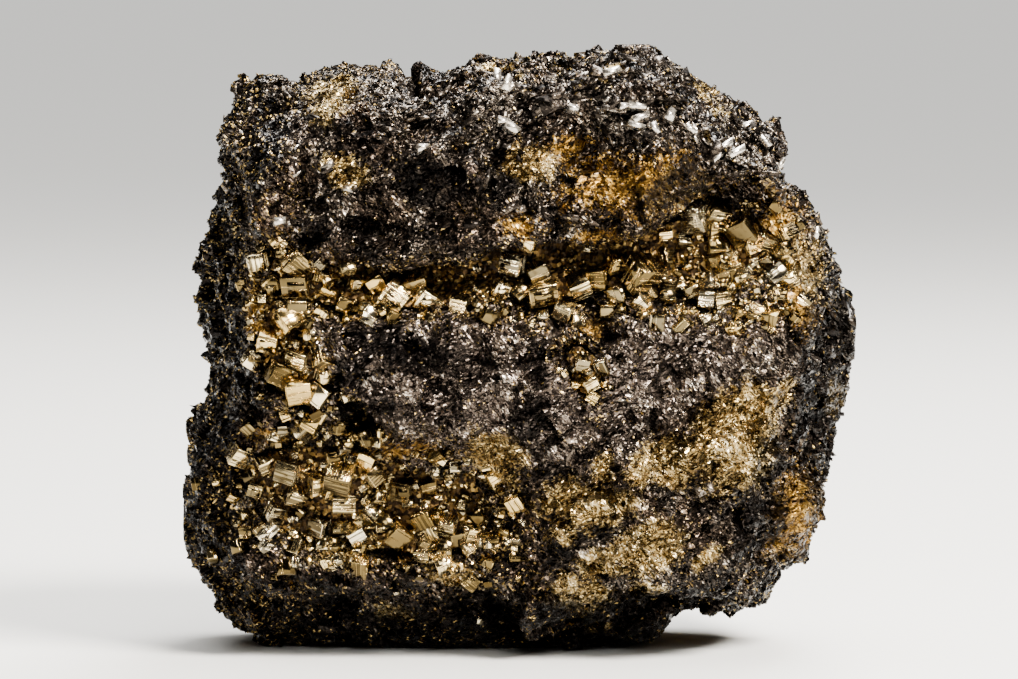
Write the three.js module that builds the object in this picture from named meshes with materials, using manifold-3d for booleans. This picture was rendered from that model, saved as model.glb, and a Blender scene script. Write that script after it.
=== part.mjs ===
// A cabinet specimen of massive sulphide ore turned to pyrite, its open seams lined by brassy pyrite cubes.
// Millimetres. +X is right, +Y is back and +Z is up. The stone stands on its underside at Z = 0.
import * as THREE from "three";
import Module from "manifold-3d";
import { mergeVertices } from "three/addons/utils/BufferGeometryUtils.js";
import { ImprovedNoise } from "three/addons/math/ImprovedNoise.js";

const wasm = await Module();
wasm.setup();
const { smoothstep, lerp, clamp, degToRad, seededRandom } = THREE.MathUtils;
const noise = new ImprovedNoise();

// Driving dimensions of the stone, and the middle that its front outline is drawn about.
const width = 120;
const height = 108.5;
const depth = 74;
const middleZ = 52;

// A crust of crystals keeps this space from the stone. Its floor lies this far behind the stone's front.
const crustGap = 0.35;
const crustSink = 1.8;
const crustRaise = 1.5;

// The stone's outline seen from the front, as [x, z], from the top left corner round by the right.
const outline = [
  [-50.5, 100], [-46, 102.3], [-40, 101.5], [-33, 103.3],
  [-23, 104.5], [-18, 102.8], [-11, 103], [-5, 104.6],
  [-0.5, 106.2], [3.5, 104.8], [9, 105.2], [13, 107.4],
  [17.5, 106.6], [20.5, 108.5], [25.3, 108], [27, 105.2],
  [33, 101.8], [38.5, 98.2], [45.5, 94.5], [47.8, 90], [51.5, 83.5], [55, 76], [57, 71], [60, 63],
  [59.3, 60], [60, 55.5], [59.3, 46], [57.5, 42.5], [55.8, 30.5], [53, 25], [52, 19.5], [48.2, 16.2],
  [48.4, 12.5], [45, 7.6], [38.5, 5], [33, 4.9], [31, 7.4], [27.8, 6.8], [24.8, 2.4], [20, 1], [15, 2.6],
  [9, 2.8], [3.5, 0], [-3, 2.6], [-20, 2.3], [-28, 2.4], [-36, 0.9], [-41, 0], [-47.5, 2.2], [-52, 6.2],
  [-57.5, 12], [-58.6, 18], [-60, 23], [-59.7, 30], [-58, 35], [-57.8, 43], [-56.2, 50], [-55.9, 61.5],
  [-57.2, 66], [-56.9, 74], [-55.6, 83], [-52.8, 88], [-51.6, 95],
].map(([x, z]) => new THREE.Vector2((x * width) / 120, (z * height) / 108.5 - middleZ));

// How far the outline lies from the middle at an angle.
function outlineRadius(angle) {
  const ray = new THREE.Vector2(Math.cos(angle), Math.sin(angle));
  let reach = 0;
  outline.forEach((start, i) => {
    const edge = outline[(i + 1) % outline.length].clone().sub(start);
    const turn = ray.cross(edge);
    const share = start.cross(ray) / turn;
    const radius = start.cross(edge) / turn;
    if (share >= 0 && share <= 1) reach = Math.max(reach, radius);
  });
  return reach;
}

// The same, smoothed along the outline, for the sides away from the widest place.
const smoothingSpread = degToRad(9);
function softRadius(angle) {
  const angles = [-1.5, -1, -0.5, 0, 0.5, 1, 1.5].map((step) => angle + step * smoothingSpread);
  return angles.reduce((sum, a) => sum + outlineRadius(a), 0) / angles.length;
}

// Height between the points of a broken line given as [x, height].
function lineAt(points, x) {
  const next = points.findIndex(([px]) => px > x);
  if (next === 0) return points[0][1];
  if (next < 0) return points[points.length - 1][1];
  const [[x0, h0], [x1, h1]] = [points[next - 1], points[next]];
  return lerp(h0, h1, (x - x0) / (x1 - x0));
}

// Height at (x, z) of an oval mound: full inside it, and falling to nothing over its flank.
function mound(x, z, { at, radii, turn = 0, rise, flank }) {
  const offset = new THREE.Vector2(x - at[0], z - at[1]).rotateAround(new THREE.Vector2(), -degToRad(turn));
  const away = Math.hypot(offset.x / radii[0], offset.y / radii[1]);
  return rise * (1 - smoothstep(away, 1 - flank, 1 + flank));
}

// Forms of the front: the upper mass overhangs the seam, and a drop cuts off the lower right and the bottom.
const upperMassFoot = [
  [-60, 72], [-38, 75], [-30, 71], [-12, 71.5], [0, 76], [22, 76.5], [30, 82], [42, 84], [60, 80],
];
const upperMassRise = 4;
const lowerDropEdge = [
  [-60, 17], [-40, 9], [-10, 10], [8, 8], [26, 13], [38, 25], [43, 36], [47, 46], [60, 70],
];
const lowerDrop = 5;
const mounds = [
  { at: [-8, 51.5], radii: [27, 11], turn: -6, rise: 4.2, flank: 0.16 }, // lump below the seam
  { at: [-18, 72], radii: [17, 4.2], turn: 2, rise: 2.4, flank: 0.3 }, // shelf under the upper mass
  { at: [33, 40], radii: [17, 15], turn: -24, rise: 3, flank: 0.35 }, // swelling at the lower right
  { at: [13, 26], radii: [17, 12], turn: 10, rise: 2.4, flank: 0.4 },
  { at: [24, 96], radii: [9, 8], turn: 0, rise: 2.5, flank: 0.3 }, // knob below the top
  { at: [42, 90], radii: [7, 6], turn: 20, rise: 2, flank: 0.35 },
  { at: [-34, 94], radii: [13, 8], turn: 15, rise: 2.2, flank: 0.35 },
  { at: [-2, 92], radii: [10, 9], turn: 0, rise: 1.6, flank: 0.4 },
  { at: [53, 32], radii: [5, 14], turn: -12, rise: 3, flank: 0.4 }, // rib along the right edge
  { at: [-40, 12], radii: [10, 6], turn: -20, rise: 2, flank: 0.4 },
  { at: [40, 56], radii: [13, 7], turn: 8, rise: 1.4, flank: 0.4 },
  { at: [-16, 9], radii: [12, 4], turn: 4, rise: -2, flank: 0.5 },
  { at: [38, 72], radii: [13, 11], turn: 0, rise: -3.5, flank: 0.3 }, // the seam's right end
  { at: [-25, 29], radii: [26, 11], turn: -4, rise: -3, flank: 0.25 }, // lower pocket
];

function frontRelief(x, z) {
  const upper = upperMassRise * smoothstep(z - lineAt(upperMassFoot, x), -1.5, 1.5);
  const lower = -lowerDrop * smoothstep(lineAt(lowerDropEdge, x) - z, -1.5, 3);
  return mounds.reduce((sum, form) => sum + mound(x, z, form), upper + lower);
}

// The stone is drawn from a box of small squares. These are its steps across, from front to back, and up.
const steps = { across: 24, back: 10, up: 20 };

// The side bulges from the front rim to the girdle and narrows again to the back rim.
const girdleStart = 0.4;
const girdleEnd = 0.5;
const frontDome = 5;
const backDome = 6;
const backRim = 0.8;
const frontRim = (angle) => 0.82 + 0.04 * Math.cos(angle) + 0.085 * Math.sin(angle);

// Where a point of the box, whose sides run from -1 to 1, lands on the stone. The front looks along -Y.
// atGirdle is 1 where the outline is widest, and 0 on the front and the back.
function placeOnStone(boxPoint) {
  const angle = Math.atan2(boxPoint.z, boxPoint.x);
  const out = Math.max(Math.abs(boxPoint.x), Math.abs(boxPoint.z));
  const along = (boxPoint.y + 1) / 2;
  const before = clamp(1 - along / girdleStart, 0, 1);
  const after = clamp((along - girdleEnd) / (1 - girdleEnd), 0, 1);
  const share = 1 - (1 - frontRim(angle)) * before ** 2 - (1 - backRim) * after ** 2;
  const dome = (1 - out ** 3) * lerp(-frontDome, backDome, along);
  const y = lerp(frontDome - depth / 2, depth / 2 - backDome, along) + dome;
  const atGirdle = (1 - before) ** 2 * (1 - after) ** 2;
  const radius = out * share * lerp(softRadius(angle), outlineRadius(angle), atGirdle);
  const x = radius * Math.cos(angle);
  const z = radius * Math.sin(angle) + middleZ;
  return { point: new THREE.Vector3(x, y - before * frontRelief(x, z), z), atGirdle };
}

// Flat breaks that took corners off the sides and the back: outward direction, and distance from the middle.
const breaks = [
  { facing: [-0.72, 0.68, 0.12], distance: 53 },
  { facing: [0.1, 0.72, 0.68], distance: 52 },
  { facing: [0.16, 0.98, -0.1], distance: 36.5 },
  { facing: [-0.24, 0.94, -0.22], distance: 39.5 },
  { facing: [0.62, 0.62, -0.46], distance: 60 },
  { facing: [0.84, 0.53, 0.14], distance: 57 },
  { facing: [0.05, 0.66, -0.75], distance: 57 },
  { facing: [-0.78, 0.36, -0.5], distance: 67 },
  { facing: [-0.42, 0.5, 0.76], distance: 61 },
  { facing: [0.55, 0.45, 0.7], distance: 66 },
].map(({ facing, distance }) => {
  const outward = new THREE.Vector3(...facing).normalize();
  return new THREE.Plane(outward, -distance - outward.z * middleZ);
});

function broken(point) {
  for (const plane of breaks) {
    const beyond = plane.distanceToPoint(point);
    if (beyond > 0) point.addScaledVector(plane.normal, -beyond);
  }
  return point;
}

// A foot under the stone's middle carries it. It is drawn down past the resting plane, which cuts it flat.
const foot = { at: [-7, 8], radii: [34, 19], below: 1, fadeFrom: 14, fadeTo: 30 };
function footShare(p) {
  const away = Math.hypot((p.x - foot.at[0]) / foot.radii[0], (p.y - foot.at[1]) / foot.radii[1]);
  return (1 - smoothstep(away, 0.85, 1.25)) * (1 - smoothstep(p.z, foot.fadeFrom, foot.fadeTo));
}

const randomVector = () => new THREE.Vector3(seededRandom(), seededRandom(), seededRandom());

// Height at p of flat facets. Each cell of space has a tilted plane, and the nearest ones share p out.
function facets(p, { size, rise, tilt, softness, seed }) {
  const cell = p.clone().divideScalar(size).floor();
  let height = 0;
  let weight = 0;
  for (let i = 0; i < 27; i++) {
    const step = new THREE.Vector3(i % 3, Math.floor(i / 3) % 3, Math.floor(i / 9)).subScalar(1);
    const near = cell.clone().add(step);
    seededRandom(Math.abs(near.x * 7919 + near.y * 104729 + near.z * 1299709 + seed) + 1);
    const centre = randomVector().add(near).multiplyScalar(size);
    const lean = randomVector().multiplyScalar(2).subScalar(1);
    const level = 2 * seededRandom() - 1;
    const nearness = Math.exp(-centre.distanceToSquared(p) / (softness * size));
    weight += nearness;
    height += nearness * (rise * level + tilt * lean.dot(p.clone().sub(centre)));
  }
  return height / weight;
}

// Broken surface of the stone: broad swells, and facets on them.
const swellSize = 26;
const swellRise = 2;
const facetForm = { size: 15, rise: 1.3, tilt: 0.26, softness: 1.6, seed: 11 };
function roughness(p) {
  const swell = noise.noise(p.x / swellSize + 3.1, p.y / swellSize + 1.7, p.z / swellSize + 5.3);
  return swellRise * swell + facets(p, facetForm);
}

// Moves every corner of a geometry to what place() gives for it.
function reshape(geometry, place) {
  const position = geometry.getAttribute("position");
  const p = new THREE.Vector3();
  for (let i = 0; i < position.count; i++) {
    p.fromBufferAttribute(position, i);
    position.setXYZ(i, ...place(p, i).toArray());
  }
  return geometry;
}

// A geometry with only its corners left, each held once.
function bare(geometry) {
  geometry.deleteAttribute("normal");
  geometry.deleteAttribute("uv");
  return mergeVertices(geometry, 1e-5);
}

// Moves each corner along its normal by by(corner, its number).
function swollen(geometry, by) {
  geometry.computeVertexNormals();
  const normal = geometry.getAttribute("normal").clone();
  const along = new THREE.Vector3();
  return reshape(geometry, (p, i) => {
    along.fromBufferAttribute(normal, i);
    return p.clone().addScaledVector(along, by(p, i));
  });
}

function solidFrom(geometry) {
  const triVerts = new Uint32Array(geometry.index.array);
  const vertProperties = new Float32Array(geometry.getAttribute("position").array);
  const solid = new wasm.Manifold(new wasm.Mesh({ numProp: 3, vertProperties, triVerts }));
  if (solid.volume() > 0) return solid;
  triVerts.reverse();
  return new wasm.Manifold(new wasm.Mesh({ numProp: 3, vertProperties, triVerts }));
}

function meshFrom(solid, name = "", material = undefined) {
  const { vertProperties, triVerts } = solid.getMesh();
  const geometry = new THREE.BufferGeometry();
  geometry.setAttribute("position", new THREE.BufferAttribute(vertProperties, 3));
  geometry.setIndex(new THREE.BufferAttribute(triVerts, 1));
  geometry.computeVertexNormals();
  const mesh = new THREE.Mesh(geometry, material);
  mesh.name = name;
  return mesh;
}

// The block before its seams opened, and a copy of it with its surface moved out by grow.
const rough = bare(new THREE.BoxGeometry(2, 2, 2, steps.across, steps.back, steps.up));
const atGirdle = [];
reshape(rough, (boxPoint) => {
  const placed = placeOnStone(boxPoint);
  atGirdle.push(placed.atGirdle);
  return broken(placed.point);
});
swollen(rough, (p, i) => roughness(p) * (1 - atGirdle[i]) * (1 - footShare(p)));
reshape(rough, (p) => p.setZ(lerp(p.z, -foot.below, footShare(p))));
const block = (grow) => solidFrom(swollen(rough.clone(), () => grow));

// Y of the first surface that a line from the front meets at (x, z).
const raycaster = new THREE.Raycaster();
function surfaceY(mesh, x, z) {
  raycaster.set(new THREE.Vector3(x, -2 * depth, z), new THREE.Vector3(0, 1, 0));
  return raycaster.intersectObject(mesh)[0]?.point.y ?? 0;
}
const wholeFront = meshFrom(block(0));

// Open seams and pockets. Stations are [x, z, half width, depth]. The lean, in degrees, tips a floor up under
// the ledge above it.
const hollows = {
  upperSeam: {
    stations: [
      [-45, 73, 3, 5], [-40, 67, 5.5, 8], [-31, 66, 4.2, 8.5], [-20, 66.2, 4.4, 9],
      [-10, 67, 4.8, 10], [2, 68.6, 5.8, 11], [13, 69.4, 5.4, 10], [23, 70.8, 5, 9],
      [31, 71.4, 8.5, 7], [40, 71.6, 10, 6], [49, 72, 6, 5],
    ],
    lean: 22, rings: 8, steps: 17, seed: 1,
  },
  leftSeam: {
    stations: [
      [-40, 68, 4.5, 6], [-41, 60, 5.2, 6.5], [-40, 54, 5.8, 6.5], [-37, 48, 5.2, 6.5], [-33, 44, 3.5, 5],
    ],
    lean: 0, rings: 8, steps: 9, seed: 2,
  },
  lumpCrack: {
    stations: [
      [-37, 61, 1.5, 6], [-34, 54, 1.6, 8], [-31, 47, 1.8, 9], [-27.5, 41.5, 3.6, 11], [-26, 37, 3, 6],
    ],
    lean: 0, rings: 7, steps: 9, seed: 3,
  },
  lowerPocket: {
    stations: [
      [-51, 34, 4, 4], [-44, 31.5, 7.5, 6], [-34, 29, 9.5, 7], [-23, 28, 9.5, 7], [-11, 27, 9, 6], [-1, 24, 6, 4],
    ],
    lean: 0, rings: 9, steps: 10, seed: 4,
  },
  smallPocket: {
    stations: [[10, 58, 2.4, 4], [11.5, 52, 3.6, 6], [14, 46.5, 2.4, 4]],
    lean: 0, rings: 7, steps: 7, seed: 5,
  },
  seamNotch: {
    stations: [[29, 65, 1.6, 4], [34.5, 63.8, 2.6, 6], [40, 63.5, 2, 5]],
    lean: 10, rings: 7, steps: 7, seed: 6,
  },
  topCrack: {
    stations: [[-38.5, 72.5, 0.8, 4], [-35, 74.5, 1.4, 6], [-30.5, 77, 1.3, 5]],
    lean: 30, rings: 7, steps: 7, seed: 7,
  },
  shelfCrack: {
    stations: [[-33, 77, 0.8, 4], [-24, 76.2, 1.1, 5], [-12, 75, 0.9, 4]],
    lean: 25, rings: 7, steps: 7, seed: 8,
  },
  lumpPit: {
    stations: [[-21, 55.5, 1.2, 3], [-18, 55.5, 2, 4.5], [-15, 56, 1, 3]],
    lean: 0, rings: 7, steps: 6, seed: 9,
  },
  rightPit: {
    stations: [[36.5, 25, 1, 3], [38.5, 26, 1.8, 5], [40, 28.5, 1, 3]],
    lean: 0, rings: 7, steps: 6, seed: 10,
  },
};
const hollowFront = 8;
const hollowRagged = 1.5;

// A trough along a hollow's stations, sunk in the stone's front, its walls taken in by grow.
function trough({ stations, lean, rings, steps, seed }, grow) {
  const course = new THREE.CatmullRomCurve3(stations.map(([x, z]) => new THREE.Vector3(x, 0, z)));
  const girth = new THREE.CatmullRomCurve3(stations.map(([, , ...reach]) => new THREE.Vector3(...reach, 0)));
  const endShare = grow / course.getLength();
  const tilt = degToRad(lean);
  return solidFrom(
    reshape(bare(new THREE.SphereGeometry(1, rings, steps)), (p) => {
      const polar = Math.acos(clamp(p.y, -1, 1));
      const along = lerp(endShare, 1 - endShare, polar / Math.PI);
      const around = Math.atan2(p.z, p.x);
      const [across, down] = [Math.cos(around), Math.sin(around)];
      const taper = Math.min(1, 1.5 * Math.sin(polar)) ** 0.6;
      const ragged = hollowRagged * noise.noise(along * steps * 0.45, across * 1.1 + seed, down * 1.1);
      const centre = course.getPoint(along);
      const run = course.getTangent(along);
      const { x: half, y: deep } = girth.getPoint(along);
      const reach = Math.max(half - grow + ragged, 0.3) * taper;
      const sideways = Math.sign(across) * Math.abs(across) ** 0.75 * reach;
      const inwards = (down > 0 ? down * (deep - grow + ragged) : down * hollowFront) * taper;
      return new THREE.Vector3(
        centre.x - run.z * sideways,
        surfaceY(wholeFront, centre.x, centre.z) + inwards * Math.cos(tilt),
        centre.z + run.x * sideways + Math.max(inwards, 0) * Math.sin(tilt),
      );
    }),
  );
}

// The stone with its hollows, all its surfaces moved out by grow.
function hollowed(grow) {
  return Object.values(hollows).reduce((body, hollow) => body.subtract(trough(hollow, grow)), block(grow));
}

// A cube of pyrite at (x, z), partly sunk in the surface there. Its turns are in degrees about X, Y and Z.
const crystalRaise = 0.28;
function crystal(ground, [x, z, size, turnX, turnY, turnZ, stretch = 1]) {
  const cube = new THREE.BoxGeometry(size * stretch, size, size);
  const turned = new THREE.Euler(...[turnX, turnY, turnZ].map(degToRad));
  cube.applyQuaternion(new THREE.Quaternion().setFromEuler(turned));
  return solidFrom(bare(cube.translate(x, surfaceY(ground, x, z) - crystalRaise * size, z)));
}

// The largest crystals, each [x, z, size, turn X, turn Y, turn Z, stretch].
const seamCubes = [
  [-38.5, 70.5, 4.2, 10, 44, 20], [-38.6, 67, 4, 24, -6, -12, 1.15], [-38.6, 63, 2.6, 14, 4, 8, 1.3],
  [-43.5, 57, 3.4, 30, 8, -10], [-41.8, 51.3, 3.8, 6, 28, 24], [-38.4, 53.8, 3.6, 22, 12, -20],
  [-38.4, 48.6, 4.2, 30, -4, 10], [-34.4, 47.6, 3.6, 20, 32, -30], [-40, 60.5, 4.2, -18, -34, 24],
  [-28.2, 66.8, 2.4, 20, 10, 30], [-30.4, 63.4, 2.6, 10, 26, 14], [-24.8, 67, 3, 22, -30, 10],
  [-21.2, 65, 4.4, 26, 34, -18], [-18.2, 66.8, 3.6, 34, -14, 8, 1.2], [-15.9, 64.2, 3.6, 18, 34, 10, 1.15],
  [-10.2, 63.6, 3, 26, 8, -16], [-1, 70.6, 3.4, 16, 8, -24, 1.1], [3.4, 69, 3.4, 28, -20, 14],
  [4.2, 65.2, 3.6, 14, -8, 10, 1.4], [10.6, 66.6, 3.6, 44, -16, 16], [13.4, 67.8, 3.4, 12, -6, -14, 1.2],
  [8, 62.4, 3, 34, 12, -24], [17, 70, 2.8, 20, 20, 30], [21.4, 68.6, 5.2, 30, 26, 34],
  [31, 78, 4, 18, -18, -28], [34.6, 79, 4, 38, 22, 12],
  [34.2, 76.4, 2.6, 16, 4, 30], [39.2, 76.2, 4.6, 22, -34, -16],
  [43.4, 74, 2.6, 26, 30, 20], [40.6, 73.4, 2.6, 12, -12, 32],
  [33, 64.2, 2.8, 10, 3, -10], [35.6, 64, 2.8, 8, -4, 14],
  [45.8, 64.4, 2.2, 20, 26, 10], [38.4, 61.4, 2.4, 30, 16, 22],
];
const lowerCubes = [
  [-49, 36.2, 3.6, 24, 32, 16], [-44.2, 34.6, 3, 30, -14, 20],
  [-40.2, 33.6, 3.8, 10, 12, -24], [-32.2, 36, 2.8, 8, -6, 18, 1.1],
  [-31.2, 32.4, 4.6, 40, 4, -16], [-30.6, 28.2, 3.2, 6, 2, 8, 1.25],
  [-35.2, 31.6, 3.2, 22, 4, 30], [-26.4, 36, 3, 30, 20, -20],
  [-25.2, 33, 3, 14, -34, 28], [-39, 29.4, 3.2, 34, 30, 12],
  [-35, 24, 3, 26, 10, -30], [-42.6, 26.4, 2.8, 18, 22, 22],
  [-20.2, 30.4, 3.4, 16, 6, -18], [-15.8, 31, 2.6, 28, -10, 12],
  [-14.2, 33.8, 2.2, 18, 24, 30], [-21, 22.6, 3.8, 24, 40, 8],
  [-12.2, 24, 3, 32, -4, -22], [-8.2, 22.6, 2.6, 12, 18, 26],
  [-3.2, 23.4, 3.2, 10, -8, -12], [-4.8, 18.4, 2.4, 30, 28, 14],
  [-28.4, 22.4, 3, 30, -24, 16], [-46, 30.2, 2.6, 20, 14, -14],
];
const smallPocketCubes = [
  [11, 53.4, 2.2, 20, 14, 10], [12.4, 50, 2.4, 28, -20, 24], [13, 47.6, 2, 14, 30, -12],
];
const loneCubes = [[20, 59.6, 3.2, 16, -38, 10], [-23.2, 55, 2.6, 24, 20, 16], [26.6, 77.2, 2.4, 20, 34, 8]];

// Smaller cubes scattered over a hollow, [x, z, size, turns] as above.
function scatter({ stations }, count) {
  const course = new THREE.CatmullRomCurve3(stations.map(([x, z]) => new THREE.Vector3(x, 0, z)));
  const girth = new THREE.CatmullRomCurve3(stations.map(([, , half]) => new THREE.Vector3(half, 0, 0)));
  return Array.from({ length: count }, (_, i) => {
    const along = (i + 0.5 + 0.6 * (seededRandom() - 0.5)) / count;
    const centre = course.getPoint(along);
    const run = course.getTangent(along);
    const sideways = (2 * seededRandom() - 1) * 0.85 * girth.getPoint(along).x;
    const turns = [seededRandom() * 60, seededRandom() * 60, seededRandom() * 60];
    const size = lerp(1.6, 2.6, seededRandom());
    return [centre.x - run.z * sideways, centre.z + run.x * sideways, size, ...turns];
  });
}

const oreMaterial = new THREE.MeshStandardMaterial({ color: 0x37322f, roughness: 0.45, metalness: 0.7 });
const pyriteMaterial = new THREE.MeshStandardMaterial({ color: 0xc9a65a, roughness: 0.25, metalness: 1 });

// Whatever reaches below the resting plane is worn off.
const worn = new THREE.BoxGeometry(3 * width, 3 * width, width).translate(0, 0, -width / 2);
let stone = hollowed(0);
const stoneGround = meshFrom(stone);
for (const cube of loneCubes) stone = stone.add(crystal(stoneGround, cube));
stone = stone.subtract(solidFrom(bare(worn)));

// The crust in some hollows: a floor with its crystals, held clear of the stone.
const crustFloor = block(0).translate(0, crustSink, crustRaise);
const crustGround = meshFrom(crustFloor);
const clearance = hollowed(crustGap).add(stone);
function crust(name, filled, cubes) {
  const beds = filled.map((hollow) => trough(hollow, crustGap + 0.05).intersect(crustFloor));
  const bed = beds.reduce((a, b) => a.add(b));
  const grown = cubes.reduce((body, cube) => body.add(crystal(crustGround, cube)), bed);
  const pieces = grown.subtract(clearance).decompose();
  return meshFrom(pieces.reduce((a, b) => (a.volume() > b.volume() ? a : b)), name, pyriteMaterial);
}

const part = new THREE.Group();
seededRandom(20);
part.add(
  meshFrom(stone, "stone", oreMaterial),
  crust(
    "seam_crystals",
    [hollows.upperSeam, hollows.leftSeam, hollows.seamNotch],
    [...seamCubes, ...scatter(hollows.upperSeam, 8), ...scatter(hollows.leftSeam, 2)],
  ),
  crust("lower_pocket_crystals", [hollows.lowerPocket], [...lowerCubes, ...scatter(hollows.lowerPocket, 8)]),
  crust("small_pocket_crystals", [hollows.smallPocket], smallPocketCubes),
);

// The origin is under the middle of everything.
const box = new THREE.Box3().setFromObject(part);
const centre = box.getCenter(new THREE.Vector3());
for (const mesh of part.children) mesh.geometry.translate(-centre.x, -centre.y, -box.min.z);
export default part;
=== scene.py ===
import math

import bmesh
import bpy
import numpy as np
from mathutils import Euler, Matrix, Vector, noise
from mathutils.bvhtree import BVHTree


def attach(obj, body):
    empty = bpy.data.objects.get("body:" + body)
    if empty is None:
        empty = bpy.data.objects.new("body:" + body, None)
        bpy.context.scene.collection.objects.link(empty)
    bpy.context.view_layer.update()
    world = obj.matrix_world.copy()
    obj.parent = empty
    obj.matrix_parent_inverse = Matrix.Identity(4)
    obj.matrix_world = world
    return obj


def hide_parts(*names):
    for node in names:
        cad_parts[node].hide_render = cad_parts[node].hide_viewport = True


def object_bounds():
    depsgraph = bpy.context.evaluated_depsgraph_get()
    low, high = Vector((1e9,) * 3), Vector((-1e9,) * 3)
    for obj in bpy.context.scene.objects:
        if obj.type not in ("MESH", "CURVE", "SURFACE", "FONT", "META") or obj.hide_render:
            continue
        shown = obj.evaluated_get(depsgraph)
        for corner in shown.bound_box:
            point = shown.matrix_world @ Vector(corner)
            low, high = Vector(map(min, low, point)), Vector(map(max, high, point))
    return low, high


# A lump of massive sulphide ore turned to pyrite. It stands on its underside, and its seam and pockets are
# full of brassy pyrite cubes. Its lengths are in millimetres, turned to metres by MM, and the studio's are
# in metres.
MM = 0.001

# How far forward, in metres, the lines begin that look for the stone's front.
IN_FRONT = -0.2

rng = np.random.default_rng(7)

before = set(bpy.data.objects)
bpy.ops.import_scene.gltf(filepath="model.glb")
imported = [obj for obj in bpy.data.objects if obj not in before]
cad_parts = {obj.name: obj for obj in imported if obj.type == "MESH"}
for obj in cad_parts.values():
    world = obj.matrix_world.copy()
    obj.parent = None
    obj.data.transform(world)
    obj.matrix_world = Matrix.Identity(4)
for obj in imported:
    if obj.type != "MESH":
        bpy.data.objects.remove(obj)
cad_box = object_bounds()
LOWEST, HIGHEST = (np.array(corner) for corner in cad_box)

# Forms seen on the front, in millimetres across (x) and up (z)

# Patches of another mineral or colour: (x, z, half width, half height, turn in degrees).
BRASS_PATCHES = [
    (37.4, 39.5, 8.2, 9.5, -15), (40, 45, 5.5, 3.8, 0), (26, 36.5, 7.5, 4.4, 5),
    (12, 28.5, 8.4, 4.6, 0), (14.5, 35.3, 1.8, 2, 0), (7.5, 22.5, 2.6, 2, 0),
    (23.5, 21.8, 6.2, 4.4, 10), (16, 18.5, 5.2, 2.6, 0), (11, 12, 5.4, 4.4, 0),
    (23.5, 13.4, 3.8, 2.4, 0), (33.3, 17.8, 3.8, 1.7, 45), (46.8, 47.3, 2.3, 3, 20),
    (56.5, 45.3, 3.2, 4.6, 0), (14.5, 4.5, 2.2, 1.6, 0), (-3, 36.5, 5, 4.4, 0),
    (-11, 15.5, 5.5, 2.4, -15), (-22, 8.5, 4.5, 2, -10), (-31, 20, 5, 1.8, 0), (1, 88.2, 4.6, 3.8, 10),
    (-30, 86.6, 4.4, 3, -10), (-33.5, 100, 5.2, 4.4, 20), (34, 99.7, 6, 1.9, -38),
    (-4.2, 103.6, 3.6, 1.4, 0), (16.5, 103.4, 2.7, 1.3, 0), (51, 69, 2.4, 6, 15),
]
RUST_PATCHES = [
    (20, 85, 10, 4.2, 0), (8.6, 90, 3.6, 2.5, 0), (0.5, 77, 3, 1.6, 0), (46.5, 78, 3.8, 3, -30),
    (49.4, 24.4, 4.4, 7.8, -10), (51, 62, 2.6, 4, 20), (-26, 62, 3.5, 1.2, 0), (-45, 62, 2.2, 4.5, 0),
    (-20, 37.5, 5, 1.2, 0), (12, 59.5, 2.6, 1.8, 0), (14, 74.5, 5, 1.4, 5), (-43, 40, 3, 1.6, 0),
]
PALE_PATCHES = [(-14, 51, 24, 10, -6), (12, 50, 14, 10, 0), (30, 56, 12, 8, 10), (-6, 40, 16, 6, 0)]
SILVER_PATCHES = [
    (39, 90, 7, 5.5, -30), (46, 84, 5, 7, 20), (24, 95, 8, 4.5, 0), (-2, 97, 7, 6, 0),
    (55, 72, 3, 9, 15), (57, 58, 2.5, 6, 0), (12, 100, 8, 4, 0), (26, 104, 5, 3, 0), (-20, 97, 5, 4, 0),
]

# Painted shade: places painted nearly black where the flanks, the foot and some hollows lie in shade.
PAINTED_SHADE_PATCHES = [
    (-55, 62, 7.5, 32, 0), (-56, 35, 6.5, 24, 0), (-6, 3, 50, 8, 0), (-40, 9, 16, 7, 0),
    (50, 10, 13, 7, 35), (43, 25, 5, 7, 0), (55.5, 47, 5.5, 23, 0), (-30, 52, 2.5, 4, 0),
    (44, 36, 3, 5, 0), (24, 7, 20, 6, 5), (-10, 84, 9, 3, 0), (-44, 92, 3, 8, 0), (27, 84, 7, 2.5, 20),
    (-20, 56, 10, 2.5, -8), (2, 44, 3, 5, 0),
]

# Places where the outline is drawn in, each with how far in millimetres.
DRAWN_IN = [
    ((-58, 62, 8, 16, 0), 2.6), ((-54, 90, 4, 7, 0), 1.5), ((-46, 104, 10, 6, 0), 1.5),
    ((-34, 106, 7, 5, 0), 1.2), ((-15, 108, 8, 6, 0), 2), ((-16.5, 107, 3.5, 4, 0), 1.4),
    ((4, 108, 6, 5, 0), 1.3), ((42, 99, 13, 9, -42), 2.6), ((56, 78, 5, 11, 0), 2.3),
    ((57, 38, 5, 13, 0), 1.4), ((28, 4, 8, 5, 0), 1.6),
]

# Single bright cleavage faces, most of them at the top: (x, z, length, width, turn in degrees).
BRIGHT_FACES = [
    (20.6, 97.8, 3.2, 1.4, -8), (21, 95.9, 3.2, 1.1, 24), (20.3, 94.6, 3, 1.2, -20),
    (26.3, 96.3, 2.4, 1.7, 62), (29.6, 93.9, 2.2, 1.2, -42), (18.2, 97.9, 1.6, 1.3, 10),
    (23.4, 94.2, 2, 1.2, -62), (-3.7, 102.3, 2.8, 1.3, 80), (-1.9, 101.7, 2.9, 1.5, 68),
    (-1.2, 94.1, 2.7, 1.7, -35), (-2.8, 95.3, 1.8, 1.3, 5), (35.6, 90.5, 3.8, 1, 38),
    (37.8, 89.7, 3.4, 1, 36), (34.8, 88.9, 2.7, 0.9, 42), (40.6, 93.4, 2.9, 1.1, 25),
    (46.4, 86.6, 2.6, 1.1, 55), (16.2, 103.6, 3.4, 1.2, 25), (-16.5, 90.8, 2, 1.4, 15),
    (43.4, 90.8, 2.4, 0.9, -50), (9.4, 97.4, 2, 1.2, -25), (-41.5, 77.8, 2, 1.2, 10),
    (52.4, 75, 2.2, 1, 70),
]

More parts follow.
